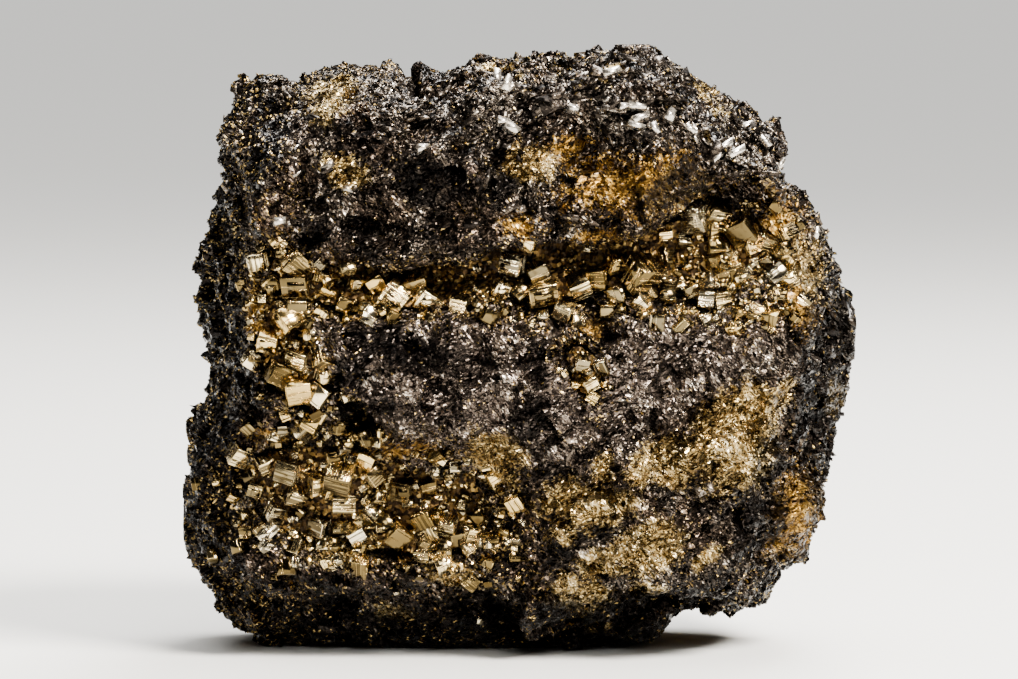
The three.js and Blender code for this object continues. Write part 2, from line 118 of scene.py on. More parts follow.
# The largest cubes in the seam and the pockets, as they stand in the solids:
# (x, z, size, turns about X, Y and Z in degrees, stretch).
SEAM_CUBES = [
    (-38.5, 70.5, 4.2, 10, 44, 20, 1), (-38.6, 67, 4, 24, -6, -12, 1.15),
    (-38.6, 63, 2.6, 14, 4, 8, 1.3), (-43.5, 57, 3.4, 30, 8, -10, 1), (-41.8, 51.3, 3.8, 6, 28, 24, 1),
    (-38.4, 53.8, 3.6, 22, 12, -20, 1), (-38.4, 48.6, 4.2, 30, -4, 10, 1),
    (-34.4, 47.6, 3.6, 20, 32, -30, 1), (-40, 60.5, 4.2, -18, -34, 24, 1),
    (-28.2, 66.8, 2.4, 20, 10, 30, 1), (-30.4, 63.4, 2.6, 10, 26, 14, 1),
    (-24.8, 67, 3, 22, -30, 10, 1), (-21.2, 65, 4.4, 26, 34, -18, 1),
    (-18.2, 66.8, 3.6, 34, -14, 8, 1.2), (-15.9, 64.2, 3.6, 18, 34, 10, 1.15),
    (-10.2, 63.6, 3, 26, 8, -16, 1), (-1, 70.6, 3.4, 16, 8, -24, 1.1), (3.4, 69, 3.4, 28, -20, 14, 1),
    (4.2, 65.2, 3.6, 14, -8, 10, 1.4), (10.6, 66.6, 3.6, 44, -16, 16, 1),
    (13.4, 67.8, 3.4, 12, -6, -14, 1.2), (8, 62.4, 3, 34, 12, -24, 1), (17, 70, 2.8, 20, 20, 30, 1),
    (21.4, 68.6, 5.2, 30, 26, 34, 1), (31, 78, 4, 18, -18, -28, 1), (34.6, 79, 4, 38, 22, 12, 1),
    (34.2, 76.4, 2.6, 16, 4, 30, 1), (39.2, 76.2, 4.6, 22, -34, -16, 1), (43.4, 74, 2.6, 26, 30, 20, 1),
    (40.6, 73.4, 2.6, 12, -12, 32, 1), (33, 64.2, 2.8, 10, 3, -10, 1), (35.6, 64, 2.8, 8, -4, 14, 1),
    (45.8, 64.4, 2.2, 20, 26, 10, 1), (38.4, 61.4, 2.4, 30, 16, 22, 1),
]
LOWER_CUBES = [
    (-49, 36.2, 3.6, 24, 32, 16, 1), (-44.2, 34.6, 3, 30, -14, 20, 1),
    (-40.2, 33.6, 3.8, 10, 12, -24, 1), (-32.2, 36, 2.8, 8, -6, 18, 1.1),
    (-31.2, 32.4, 4.6, 40, 4, -16, 1), (-30.6, 28.2, 3.2, 6, 2, 8, 1.25),
    (-35.2, 31.6, 3.2, 22, 4, 30, 1), (-26.4, 36, 3, 30, 20, -20, 1), (-25.2, 33, 3, 14, -34, 28, 1),
    (-39, 29.4, 3.2, 34, 30, 12, 1), (-35, 24, 3, 26, 10, -30, 1), (-42.6, 26.4, 2.8, 18, 22, 22, 1),
    (-20.2, 30.4, 3.4, 16, 6, -18, 1), (-15.8, 31, 2.6, 28, -10, 12, 1),
    (-14.2, 33.8, 2.2, 18, 24, 30, 1), (-21, 22.6, 3.8, 24, 40, 8, 1), (-12.2, 24, 3, 32, -4, -22, 1),
    (-8.2, 22.6, 2.6, 12, 18, 26, 1), (-3.2, 23.4, 3.2, 10, -8, -12, 1),
    (-4.8, 18.4, 2.4, 30, 28, 14, 1), (-28.4, 22.4, 3, 30, -24, 16, 1),
    (-46, 30.2, 2.6, 20, 14, -14, 1),
]
SMALL_CUBES = [
    (11, 53.4, 2.2, 20, 14, 10, 1), (12.4, 50, 2.4, 28, -20, 24, 1), (13, 47.6, 2, 14, 30, -12, 1),
]

# Where crystals grow: (x, z, half width) along the middle of each hollow.
SEAM_COURSE = [
    (-44, 72, 3), (-40, 67, 5.5), (-31, 66, 4.6), (-20, 65.4, 4.6), (-10, 66, 5), (2, 67.4, 6),
    (13, 68.2, 6), (23, 70, 5.6), (31, 71, 8.5), (40, 71.4, 10), (47, 71, 7),
]
LEFT_COURSE = [(-40, 68, 5), (-41, 60, 5.2), (-40, 54, 6), (-37, 48, 5.4), (-33, 44, 4)]
NOTCH_COURSE = [(29, 65, 2), (34.5, 63.8, 3), (40, 63.5, 2.6), (46, 64, 2)]
LOWER_COURSE = [(-50, 34, 3.5), (-44, 31.5, 7), (-34, 29, 9.5), (-23, 28, 9.5), (-11, 27, 9), (-2, 23, 6)]
CRACK_COURSE = [(-33, 46, 2), (-28, 42, 4), (-26, 37, 4)]
SMALL_COURSE = [(10, 58, 2), (11.5, 52, 3.4), (14, 47, 2.4)]

# Between these two x the seam runs under a roof, which begins and ends over this length.
ROOF_ENDS = (-34, 27)
ROOF_FADE = 5


# Mesh tools


def new_object(name, mesh):
    """An object of that mesh, linked to the scene."""
    piece = bpy.data.objects.new(name, mesh)
    bpy.context.scene.collection.objects.link(piece)
    return piece


def merged_copy(node, name):
    """A copy of a CAD node, its loose triangles joined at their corners."""
    bm = bmesh.new()
    bm.from_mesh(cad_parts[node].data)
    bmesh.ops.remove_doubles(bm, verts=bm.verts, dist=0.001 * MM)
    mesh = bpy.data.meshes.new(name)
    bm.to_mesh(mesh)
    bm.free()
    return new_object(name, mesh)


def applied(piece):
    """Puts what a piece's modifiers make into its mesh."""
    graph = bpy.context.evaluated_depsgraph_get()
    made = bpy.data.meshes.new_from_object(piece.evaluated_get(graph))
    piece.modifiers.clear()
    old = piece.data
    piece.data = made
    made.name = piece.name
    bpy.data.meshes.remove(old)


def corners_of(mesh):
    """A mesh's corners as an array, in metres."""
    co = np.empty(len(mesh.vertices) * 3, np.float32)
    mesh.vertices.foreach_get("co", co)
    return co.reshape(-1, 3).astype(np.float64)


def normals_of(mesh):
    """The normals at a mesh's corners."""
    normal = np.empty(len(mesh.vertices) * 3, np.float32)
    mesh.vertices.foreach_get("normal", normal)
    return normal.reshape(-1, 3).astype(np.float64)


def place_corners(mesh, co):
    mesh.vertices.foreach_set("co", np.asarray(co, np.float32).ravel())
    mesh.update()


def store(mesh, name, values):
    """Keeps one number per corner of the mesh, for its material."""
    made = mesh.attributes.new(name, "FLOAT", "POINT")
    made.data.foreach_set("value", np.asarray(values, np.float32))


def oval_field(x, z, patches):
    """1 in the middle of a patch, one half at its rim and 0 well outside, for the nearest patch."""
    best = np.zeros(len(x))
    for cx, cz, half_x, half_z, turn in patches:
        angle = math.radians(turn)
        u = (x - cx) * math.cos(angle) + (z - cz) * math.sin(angle)
        v = (z - cz) * math.cos(angle) - (x - cx) * math.sin(angle)
        away = np.hypot(u / half_x, v / half_z)
        best = np.maximum(best, np.clip(1 - away / 2, 0, 1))
    return best


def near_hollows(x, z):
    """1 in the hollows that the crystals grow in, falling to 0 at twice their half width."""
    best = np.zeros(len(x))
    for course in (SEAM_COURSE, LEFT_COURSE, NOTCH_COURSE, LOWER_COURSE, SMALL_COURSE):
        for (x0, z0, half0), (x1, z1, half1) in zip(course, course[1:]):
            along, up = x1 - x0, z1 - z0
            share = np.clip(((x - x0) * along + (z - z0) * up) / (along**2 + up**2), 0, 1)
            half = half0 + share * (half1 - half0)
            away = np.hypot(x - x0 - share * along, z - z0 - share * up) / half
            best = np.maximum(best, np.clip(2 - away, 0, 1))
    return best


def roofed(x):
    """1 where the seam runs under its roof, and 0 at its open ends."""
    left, right = ROOF_ENDS
    return np.clip((x - left) / ROOF_FADE, 0, 1) * np.clip((right - x) / ROOF_FADE, 0, 1)


def seam_middle(x):
    """Height of the seam's middle line, in millimetres."""
    course = np.array(SEAM_COURSE)
    return np.interp(x, course[:, 0], course[:, 1])


def noise_at(points, size, shift):
    """Smooth noise from -1 to 1 at points in metres, its features about size millimetres across."""
    scale = 1 / (size * MM)
    return np.array([noise.noise(Vector(p * scale) + shift) for p in points])


def random_in_cells(cells, salt):
    """One number from 0 to 1 for each whole-numbered cell of space, always the same for the same cell."""
    hashed = cells[:, 0] * 73856093 ^ cells[:, 1] * 19349663 ^ cells[:, 2] * 83492791 ^ salt * 2654435761
    hashed = (hashed ^ (hashed >> 13)) * 1274126177 & 0xFFFFFFFF
    return ((hashed ^ (hashed >> 16)) & 0xFFFFFF) / 0xFFFFFF


def fractured(points, size, seed):
    """Flat facets of broken stone about size millimetres wide: the height at each place, in facet sizes,
    and how far it is from a facet's edge."""
    spots = points / (size * MM)
    base = np.floor(spots).astype(np.int64)
    nearest = np.full(len(spots), 1e9)
    second = np.full(len(spots), 1e9)
    height = np.zeros(len(spots))
    for step in np.ndindex(3, 3, 3):
        cells = base + np.array(step) - 1
        centre = cells + np.stack([random_in_cells(cells, seed + k) for k in range(3)], 1)
        tilt = np.stack([random_in_cells(cells, seed + k) for k in range(3, 6)], 1) - 0.5
        away = np.linalg.norm(spots - centre, axis=1)
        plane = ((spots - centre) * tilt).sum(1) + 0.5 * random_in_cells(cells, seed + 6) - 0.25
        closer = away < nearest
        second = np.where(closer, nearest, np.minimum(second, away))
        height = np.where(closer, plane, height)
        nearest = np.minimum(nearest, away)
    return height, second - nearest


def random_turns(count):
    """As many random rotation matrices."""
    q = rng.normal(size=(count, 4))
    w, x, y, z = (q / np.linalg.norm(q, axis=1)[:, None]).T
    rows = [
        [1 - 2 * (y * y + z * z), 2 * (x * y - z * w), 2 * (x * z + y * w)],
        [2 * (x * y + z * w), 1 - 2 * (x * x + z * z), 2 * (y * z - x * w)],
        [2 * (x * z - y * w), 2 * (y * z + x * w), 1 - 2 * (x * x + y * y)],
    ]
    return np.array(rows).transpose(2, 0, 1)


def shape_of(bm):
    """A small shape as arrays: its corners, its faces' corner numbers, how many each face has, where each
    of them lies across the growth lines, and which of six sides each face belongs to."""
    bm.verts.index_update()
    faces = [[v.index for v in face.verts] for face in bm.faces]
    lengths = np.array([len(face) for face in faces])
    corners = np.array([v.co[:] for v in bm.verts])
    flat = np.array([i for face in faces for i in face])
    normals = np.array([face.normal[:] for face in bm.faces])
    axes = np.abs(normals).argmax(1)
    sides = 2 * axes + (normals[np.arange(len(axes)), axes] > 0)
    across = np.zeros((len(flat), 2))
    loops = [loop for face in bm.faces for loop in face.loops]
    for i, loop in enumerate(loops):
        # Growth lines on a cube run at right angles to those of the next face.
        axis = int(np.argmax(np.abs(loop.face.normal)))
        across[i] = loop.vert.co[(axis + 1) % 3], loop.vert.co[(axis + 2) % 3]
    bm.free()
    return {"corners": corners, "flat": flat, "lengths": lengths, "across": across, "sides": sides}


def stamped(name, shapes, picks, turns, sizes, places, values):
    """One mesh of many copies of small shapes. All but the name and the shapes have a row for each copy."""
    corners, flat, lengths, across, rows, side_tarnish_and_shade_rows = [], [], [], [], [], []
    first = 0
    for number, shape in enumerate(shapes):
        chosen = np.flatnonzero(picks == number)
        local = shape["corners"][None] * sizes[chosen, None, :]
        placed = np.einsum("nij,nmj->nmi", turns[chosen], local) + places[chosen, None, :]
        corners.append(placed.reshape(-1, 3))
        count = len(shape["corners"])
        starts = first + count * np.arange(len(chosen))
        flat.append((shape["flat"][None] + starts[:, None]).ravel())
        lengths.append(np.tile(shape["lengths"], len(chosen)))
        lines = shape["across"][None] * sizes[chosen, None, :1] / MM
        across.append((lines + rng.uniform(0, 50, (len(chosen), 1, 2))).reshape(-1, 2))
        rows.append(np.repeat(chosen, count))
        side_tarnish_and_shade_rows.append(rng.uniform(size=(len(chosen), 6))[:, shape["sides"]].ravel())
        first += count * len(chosen)
    corners, flat, lengths, across, rows = map(np.concatenate, (corners, flat, lengths, across, rows))
    corners = np.clip(corners, LOWEST, HIGHEST)
    mesh = bpy.data.meshes.new(name)
    mesh.vertices.add(len(corners))
    mesh.loops.add(len(flat))
    mesh.polygons.add(len(lengths))
    mesh.vertices.foreach_set("co", corners.astype(np.float32).ravel())
    mesh.loops.foreach_set("vertex_index", flat.astype(np.int32))
    mesh.polygons.foreach_set("loop_start", (np.cumsum(lengths) - lengths).astype(np.int32))
    mesh.update(calc_edges=True)
    mesh.validate()
    growth = mesh.uv_layers.new(name="growth_lines")
    growth.data.foreach_set("uv", across.astype(np.float32).ravel())
    for key, column in values.items():
        store(mesh, key, column[rows])
    # A random number for each side of each copy, which picks the pyrite faces painted dark: partly tarnish,
    # partly painted shade for faces that mirror dark surroundings.
    side_tarnish_and_shade = mesh.attributes.new("side_tarnish_and_shade", "FLOAT", "FACE")
    side_tarnish_and_shade.data.foreach_set("value", np.concatenate(side_tarnish_and_shade_rows).astype(np.float32))
    return new_object(name, mesh)


def grain_shapes(count, flatness):
    """Angular grains: double pyramids of eight faces and wedges of eight, their corners knocked about."""
    shapes = []
    for number in range(count):
        bm = bmesh.new()
        if number % 2:
            bmesh.ops.create_uvsphere(bm, u_segments=4, v_segments=2, radius=0.6)
        else:
            bmesh.ops.create_cone(bm, cap_ends=True, segments=3, radius1=0.6, radius2=0.5, depth=0.9)
        for v in bm.verts:
            v.co += Vector(rng.uniform(-0.17, 0.17, 3))
            v.co.z *= flatness
        bmesh.ops.triangulate(bm, faces=bm.faces)
        shapes.append(shape_of(bm))
    return shapes


def shard_shapes(count):
    """Thin cleavage shards, one unit long, narrower at one end."""
    shapes = []
    for _ in range(count):
        bm = bmesh.new()
        bmesh.ops.create_cube(bm, size=1)
        taper = rng.uniform(0.3, 0.9)
        for v in bm.verts:
            v.co += Vector(rng.uniform(-0.12, 0.12, 3))
            if v.co.x > 0:
                v.co.y *= taper
        bmesh.ops.triangulate(bm, faces=bm.faces)
        shapes.append(shape_of(bm))
    return shapes


def laid(direction, angle, lean):
    """Turns that lay long shapes on the surface. Their length runs at that angle in the front view, and
    each leans a little."""
    up = direction + rng.normal(0, lean, direction.shape)
    up /= np.linalg.norm(up, axis=1)[:, None]
    along = np.stack([np.cos(angle), 0.01 + 0 * angle, np.sin(angle)], 1)
    along -= up * (along * up).sum(1)[:, None]
    along /= np.linalg.norm(along, axis=1)[:, None]
    return np.stack([along, np.cross(up, along), up], 2)


# The narrow bevel along a cube's edges, as a share of the cube.
CUBE_BEVEL = 0.022


def cube_shapes():
    """Pyrite cubes: plain ones, and ones with a growth step on some faces."""
    shapes = []
    for steps in (0, 1, 2, 3):
        bm = bmesh.new()
        bmesh.ops.create_cube(bm, size=1)
        bmesh.ops.bevel(
            bm, geom=bm.edges[:], offset=CUBE_BEVEL, segments=1, profile=0.5, affect="EDGES", material=-1
        )
        sides = sorted(bm.faces, key=lambda face: face.calc_area())[-6:]
        for side in rng.permutation(len(sides))[:steps]:
            inset = rng.uniform(0.08, 0.24)
            slide = Vector(rng.uniform(-0.6, 0.6, 3)) * inset
            face = sides[side]
            bmesh.ops.inset_individual(bm, faces=[face], thickness=inset, depth=0)
            slide -= face.normal * slide.dot(face.normal)
            bmesh.ops.translate(bm, verts=face.verts, vec=slide)
            raised = bmesh.ops.extrude_discrete_faces(bm, faces=[face])["faces"]
            for top in raised:
                bmesh.ops.translate(bm, verts=top.verts, vec=top.normal * rng.uniform(0.02, 0.05))
        shapes.append(shape_of(bm))
    return shapes


# The stone

# Grid that the stone is worked out on, in millimetres, and how many faces of it are kept.
STONE_VOXEL = 0.6
STONE_FACES = 192000

# Below this height in millimetres the surface is worked less and less, so that the foot stays flat.
FOOT_FADE = 3

# How far the stone stands back where crystals line it, and how much less it does at the seam's roof.
LINED_SINK = 1.1
ROOF_RISE = 1.4

# Pits are about this wide in mm, begin at this level of noise, and are this deep for each unit above it.
PIT_SIZE = 3
PIT_START = 0.4
PIT_DEPTH = 2.5

# Broken facets: (size in mm, how far they rise or sink in mm, seed), from crags to grains.
FACETS = [(18, 4.6, 12), (8, 3.2, 20), (3.8, 1.6, 30), (1.7, 0.7, 50)]


def build_stone():
    """The stone, its broken surface worked out to facets and grains that the solid is too coarse for."""
    stone = merged_copy("stone", "ore_stone")
    remesh = stone.modifiers.new("even_grid", "REMESH")
    remesh.mode = "VOXEL"
    remesh.voxel_size = STONE_VOXEL * MM
    applied(stone)
    mesh = stone.data
    co = corners_of(mesh)
    normal = normals_of(mesh)
    x, z = co[:, 0] / MM, co[:, 2] / MM
    facing = np.clip(0.2 - normal[:, 1], 0, 1)
    calm = 1 - 0.5 * np.clip(3 * oval_field(x, z, PALE_PATCHES) - 1, 0, 1) * facing
    # Round the hollows the stone is kept lower, so that the crystals stand out of it. Only the roof of the
    # seam juts out over them.
    lined = near_hollows(x, z) * facing
    roof = roofed(x) * np.clip((z - seam_middle(x) - 1) / 2, 0, 1)
    quiet = 1 - 0.7 * lined
    rise = 0.2 - (LINED_SINK - ROOF_RISE * roof) * lined
    bent = co + 0.0012 * np.stack([noise_at(co, 6, Vector((k, 2, 7))) for k in range(3)], 1)
    for size, height, seed in FACETS:
        facet, edge = fractured(bent, size, seed)
        share = quiet if size > 5 else calm
        rise += share * (height * facet - 0.1 * height * (1 - np.clip(edge / 0.08, 0, 1)))
    pits = noise_at(co, PIT_SIZE, Vector((7, 2, 5)))
    rise -= PIT_DEPTH * np.clip(pits - PIT_START, 0, 1)
    for place, depth in DRAWN_IN:
        rise -= depth * np.clip(2 * oval_field(x, z, [place]), 0, 1)
    low = np.clip(co[:, 2] / (FOOT_FADE * MM), 0, 1)
    co += normal * (rise * low * MM)[:, None]
    place_corners(mesh, np.clip(co, LOWEST, HIGHEST))
    thin = stone.modifiers.new("fewer_faces", "DECIMATE")
    thin.ratio = STONE_FACES / (2 * len(mesh.polygons))
    applied(stone)
    return stone


def patch_values(co, normal):
    """How much of each finish, and of the painted shade, shows at places on the stone. The front has the
    patches that the photograph shows, with wandering edges. The sides and the back have blotches of the
    same."""
    broad = [noise_at(co, 11, Vector((k, 5, 1))) for k in (1, 4)]
    small = [noise_at(co, 3.2, Vector((k, 3, 6))) for k in (2, 7)]
    x = co[:, 0] / MM + 2.2 * broad[0] + 1.6 * small[0]
    z = co[:, 2] / MM + 2.2 * broad[1] + 1.6 * small[1]
    # The front's patches reach round its edges a little, and end before the middle of the sides.
    facing = np.clip(0.75 - 1.6 * normal[:, 1], 0, 1)
    near = np.clip(0.6 - co[:, 1] / (20 * MM) + 0.5 * broad[0], 0, 1)
    front = facing * near
    blotch = noise_at(co, 18, Vector((3, 3, 3)))
    behind = 1 - front
    fringe = np.clip(1.5 * near_hollows(x, z) - 0.5, 0, 1) * front
    side = np.clip((-34 - x) / 12, 0, 1) + np.clip((24 - z) / 30, 0, 1)
    elsewhere = {
        "brass": (BRASS_PATCHES, np.clip(0.2 + 1.1 * blotch, 0, 0.9)),
        "rust": (RUST_PATCHES, np.clip(0.12 + 1.1 * broad[0], 0, 0.8)),
        "pale": (PALE_PATCHES, np.clip(0.35 - 0.9 * broad[1], 0, 0.8)),
        "silver": (SILVER_PATCHES, np.clip(0.3 - 0.7 * blotch, 0, 0.7)),
        # Painted shade: blotches of it on the sides and the back, as on the front's flanks and hollows.
        "dark": (PAINTED_SHADE_PATCHES, np.clip(0.42 + 0.3 * broad[1], 0, 0.6)),
    }
    values = {"gilt": np.clip(0.35 * side * (0.7 + broad[0]) + 0.35 * fringe + 0.35 * behind, 0, 1)}
    for key, (patches, blotches) in elsewhere.items():
        values[key] = oval_field(x, z, patches) * front + blotches * behind
    return values


def surface_samples(mesh, wanted, weigh):
    """Random places spread over a mesh: their positions and the surface's direction there."""
    mesh.calc_loop_triangles()
    count = len(mesh.loop_triangles)
    tris = np.empty(count * 3, np.int32)
    mesh.loop_triangles.foreach_get("vertices", tris)
    a, b, c = corners_of(mesh)[tris.reshape(-1, 3)].transpose(1, 0, 2)
    cross = np.cross(b - a, c - a)
    area = np.linalg.norm(cross, axis=1) + 1e-15
    direction = cross / area[:, None]
    weight = area * weigh((a + b + c) / 3, direction)
    chosen = rng.choice(count, wanted, p=weight / weight.sum())
    u, v = rng.uniform(size=(2, wanted, 1))
    over = u + v > 1
    u, v = np.where(over, 1 - u, u), np.where(over, 1 - v, v)
    places = a[chosen] + u * (b - a)[chosen] + v * (c - a)[chosen]
    return places, direction[chosen]


def grain_slope(places):
    """Which way the grains run in the front view: down along the right shoulder, and wandering."""
    return np.where(places[:, 0] > 25 * MM, -0.9, 0.3) + 0.6 * noise_at(places, 14, Vector((2, 2, 9)))


# Grains: (name, how many, sizes in mm, thickness as a share of the width, whether they lie on the front).
GRAIN_LAYERS = [
    ("front_grains_fine", 24000, (0.2, 0.38), 0.8, True),
    ("front_grains_coarse", 14000, (0.3, 0.62), 0.6, True),
    ("side_grains_fine", 24000, (0.35, 0.75), 0.8, False),
    ("side_grains_coarse", 15000, (0.6, 1.1), 0.6, False),
]


def build_grains(stone):
    """Angular grains that stand out of the stone's surface."""
    pieces = []
    for name, count, (least, most), flatness, on_front in GRAIN_LAYERS:

        def weigh(centre, direction):
            front = np.clip(0.25 - direction[:, 1], 0, 1) + 0.02
            resting = np.where(centre[:, 2] < 2.5 * MM, 0, 1)
            return (front if on_front else (1.25 - front)) * resting

        places, direction = surface_samples(stone.data, count, weigh)
        sizes = rng.uniform(least, most, (count, 1)) * rng.uniform(0.7, 1.4, (count, 3)) * MM
        turns = random_turns(count)
        if on_front:
            # Grains on the front are long and thin, and lie roughly side by side.
            sizes *= [1.5, 0.75, 0.75]
            turns = laid(direction, grain_slope(places) + rng.normal(0, 0.55, count), 0.3)
        places = places + direction * sizes[:, 1:2] * rng.uniform(-0.3, 0.15, (count, 1))
        values = patch_values(places, direction)
        picks = rng.integers(0, 6, count)
        pieces.append(stamped(name, grain_shapes(6, flatness), picks, turns, sizes, places, values))
    return pieces


def build_shards(stone, name, count, longest):
    """Silvery cleavage shards, most of them in streaks along the top and the right shoulder."""

    def weigh(centre, direction):
        x, z = centre[:, 0] / MM, centre[:, 2] / MM
        silver = np.clip(2.4 * oval_field(x, z, SILVER_PATCHES) - 0.4, 0, 1)
        front = np.clip(0.4 - direction[:, 1], 0, 1)
        upper = np.clip((z - 55) / 40, 0.1, 1)
        return (silver * front + 0.12 * upper) * np.where(z < 3, 0, 1) * (1 - near_hollows(x, z) * front)

    places, direction = surface_samples(stone.data, count, weigh)
    turns = laid(direction, grain_slope(places) + rng.normal(0, 0.4, count), 0.16)
    length = longest * rng.uniform(0.55, 1, count) ** 2
    thick = length * rng.uniform(0.12, 0.25, count)
    sizes = np.stack([length, length * rng.uniform(0.3, 0.8, count), thick], 1) * MM
    places = places - direction * (0.1 * thick * MM)[:, None]
    values = patch_values(places, direction)
    values["silver"] = np.maximum(values["silver"], 0.75)
    values["brass"] = values["brass"] * 0.6
    values["smooth_face"] = rng.uniform(0.6, 1, count)
    values["face_tone"] = rng.uniform(0.15, 0.9, count)
    return stamped(name, shard_shapes(6), rng.integers(0, 6, count), turns, sizes, places, values)


def build_bright_faces(ground):
    """The few large cleavage faces that catch the light."""
    rows = []
    for x, z, length, width, turn in BRIGHT_FACES:
        hit = ground.ray_cast(Vector((x * MM, IN_FRONT, z * MM)), Vector((0, 1, 0)))[0]
        if hit is not None:
            # Each stands a little proud of the grains round it.
            place = np.array(hit) - [0, 0.7 * MM, 0]
            rows.append((place, math.radians(turn), np.array([length, width, 1.5]) * MM))
    places, angles, sizes = (np.array(column) for column in zip(*rows))
    facing = np.tile([0.28, -0.84, 0.46], (len(rows), 1))
    values = {key: np.full(len(rows), 1.0) for key in ("silver", "smooth_face", "face_tone")}
    turns = laid(facing, angles, 0.07)
    shapes = shard_shapes(5)
    picks = rng.integers(0, 5, len(rows))
    return stamped("bright_faces", shapes, picks, turns, sizes, places, values)


# The crystals


# Grid that a bed is worked out on, and how much deeper the seam's bed lies under the roof, in millimetres.
BED_VOXEL = 0.35
SEAM_DEEPENING = 2.6


def build_bed(node, name):
    """The floor that a hollow's crystals grow from, sunk a little so that the cubes cover its own."""
    bed = merged_copy(node, name)
    remesh = bed.modifiers.new("even_grid", "REMESH")
    remesh.mode = "VOXEL"
    remesh.voxel_size = BED_VOXEL * MM
    applied(bed)
    co, normal = corners_of(bed.data), normals_of(bed.data)
    height, _ = fractured(co, 1.2, 70)
    co += normal * ((0.35 * height - 0.4) * MM)[:, None]
    if node == "seam_crystals":
        # The middle of the seam runs deeper under its roof.
        x, z = co[:, 0] / MM, co[:, 2] / MM
        co[:, 1] += SEAM_DEEPENING * MM * roofed(x) * np.clip((z - seam_middle(x) + 0.5) / 2, 0, 1)
    place_corners(bed.data, np.clip(co, LOWEST, HIGHEST))
    return bed


def turn_matrix(turns):
    """The rotation of a cube in the solids. Its turns are about X, then its own Y, then its own Z."""
    x, y, z = (Matrix.Rotation(math.radians(turn), 3, axis) for turn, axis in zip(turns, "XYZ"))
    return np.array(x @ y @ z)


def listed_cubes(solids, cubes):
    """Place, turn and size of the cubes that the solids have, each found by a line from the front."""
    rows = []
    for x, z, size, *turns, stretch in cubes:
        turn = turn_matrix(turns)
        start = Vector((x * MM, IN_FRONT, z * MM))
        hit = solids.ray_cast(start, Vector((0, 1, 0)))[0]
        if hit is None:
            continue
        edge = np.array([size * stretch, size, size]) * MM
        inside = min(e / 2 / max(abs(turn[1, k]), 1e-6) for k, e in enumerate(edge))
        # The growth lines of the front face run another way from cube to cube.
        order = np.roll([0, 1, 2], rng.integers(3))
        rows.append((np.array(hit) + [0, inside, 0], turn[:, order], edge[order]))
    return rows


# Where the front lies on average, and how far before it the lines begin that look for places to grow, both
# in millimetres.
FRONT_Y = -36
APPROACH = 40

# Cubes between the listed ones: (how many per square mm of hollow, least and greatest size in mm).
MEDIUM_GROWTH = (0.3, 1.1, 3.0)
FINE_GROWTH = (0.55, 0.45, 1.2)

# In the middle of the seam, between these x and above this z, the crystals keep to its floor.
GAP_ENDS = (-32, 25)
GAP_FOOT = 60


def grown_cubes(ground, courses, density, least, most, large):
    """Cubes all over some hollows, found by lines that reach in from the front at many slants."""
    rows = []
    centres = np.array([place for place, _, _ in large])
    reach = np.array([edge.max() for _, _, edge in large])
    for course in courses:
        for (x0, z0, half0), (x1, z1, half1) in zip(course, course[1:]):
            length = math.hypot(x1 - x0, z1 - z0)
            for _ in range(round(density * length * (half0 + half1))):
                share = rng.uniform()
                off = rng.uniform(-0.95, 0.95)
                # Few grow under the seam's roof, which stays a dark gap.
                if GAP_ENDS[0] < x0 < GAP_ENDS[1] and z0 > GAP_FOOT and off > 0.1 and rng.uniform() < 0.85:
                    continue
                across = off * (half0 + share * (half1 - half0))
                x = x0 + share * (x1 - x0) - (z1 - z0) / length * across
                z = z0 + share * (z1 - z0) + (x1 - x0) / length * across
                slant = Vector((rng.uniform(-0.5, 0.5), 1, rng.uniform(-0.9, 0.5))).normalized()
                start = Vector((x, FRONT_Y, z)) * MM - slant * APPROACH * MM
                hit, normal, _, _ = ground.ray_cast(start, slant)
                if hit is None:
                    continue
                size = (least + (most - least) * rng.uniform() ** 2) * MM
                place = np.array(hit + normal * size * rng.uniform(-0.15, 0.2))
                apart = np.linalg.norm((centres - place)[:, [0, 2]], axis=1)
                if (apart < 0.55 * reach + 0.35 * size).any():
                    continue
                edge = size * np.array([rng.uniform(0.85, 1.35), 1, rng.uniform(0.85, 1.1)])
                rows.append((place, random_turns(1)[0], edge))
    return rows


# How many directions are tried for light to reach a cube, and how far out, in millimetres.
LIGHT_RAYS = 18
LIGHT_REACH = 14


def openness(ground, places, sizes):
    """For each cube, the share of directions to the front and the side from which light can come in."""
    rays = rng.normal(size=(LIGHT_RAYS, 3))
    rays[:, 1] = -np.abs(rays[:, 1]) - 0.3
    rays = [Vector(ray).normalized() for ray in rays]
    share = []
    for place, size in zip(places, sizes.max(axis=1)):
        start = Vector(place) + Vector((0, -0.8, 0.25)) * size
        clear = sum(ground.ray_cast(start, ray, LIGHT_REACH * MM)[0] is None for ray in rays)
        share.append(clear / len(rays))
    return np.array(share)


def build_cubes(name, ground, rows):
    """One piece of all these cubes."""
    places, turns, sizes = (np.array(column) for column in zip(*rows))
    count = len(rows)
    values = {
        "tone": rng.uniform(size=count),
        "lined": rng.uniform(size=count),
        # How open each cube lies to light, which sets how much painted shade it gets.
        "open": openness(ground, places, sizes),
    }
    return stamped(name, cube_shapes(), rng.integers(0, 4, count), turns, sizes, places, values)


def tree_of(*pieces):
    """All these pieces' faces, to find where a line meets them."""
    corners, faces, first = [], [], 0
    for piece in pieces:
        corners += [v.co.copy() for v in piece.data.vertices]
        faces += [[first + i for i in face.vertices] for face in piece.data.polygons]
        first = len(corners)
    return BVHTree.FromPolygons(corners, faces)


# Finishes

# How much longer than wide the ore's blades are.
BLADE_STRETCH = 2.1


def linear(code):
    """A colour written as sRGB hex, as the linear values that shaders take."""
    parts = [int(code[i : i + 2], 16) / 255 for i in (0, 2, 4)]
    return [p / 12.92 if p <= 0.04045 else ((p + 0.055) / 1.055) ** 2.4 for p in parts] + [1]


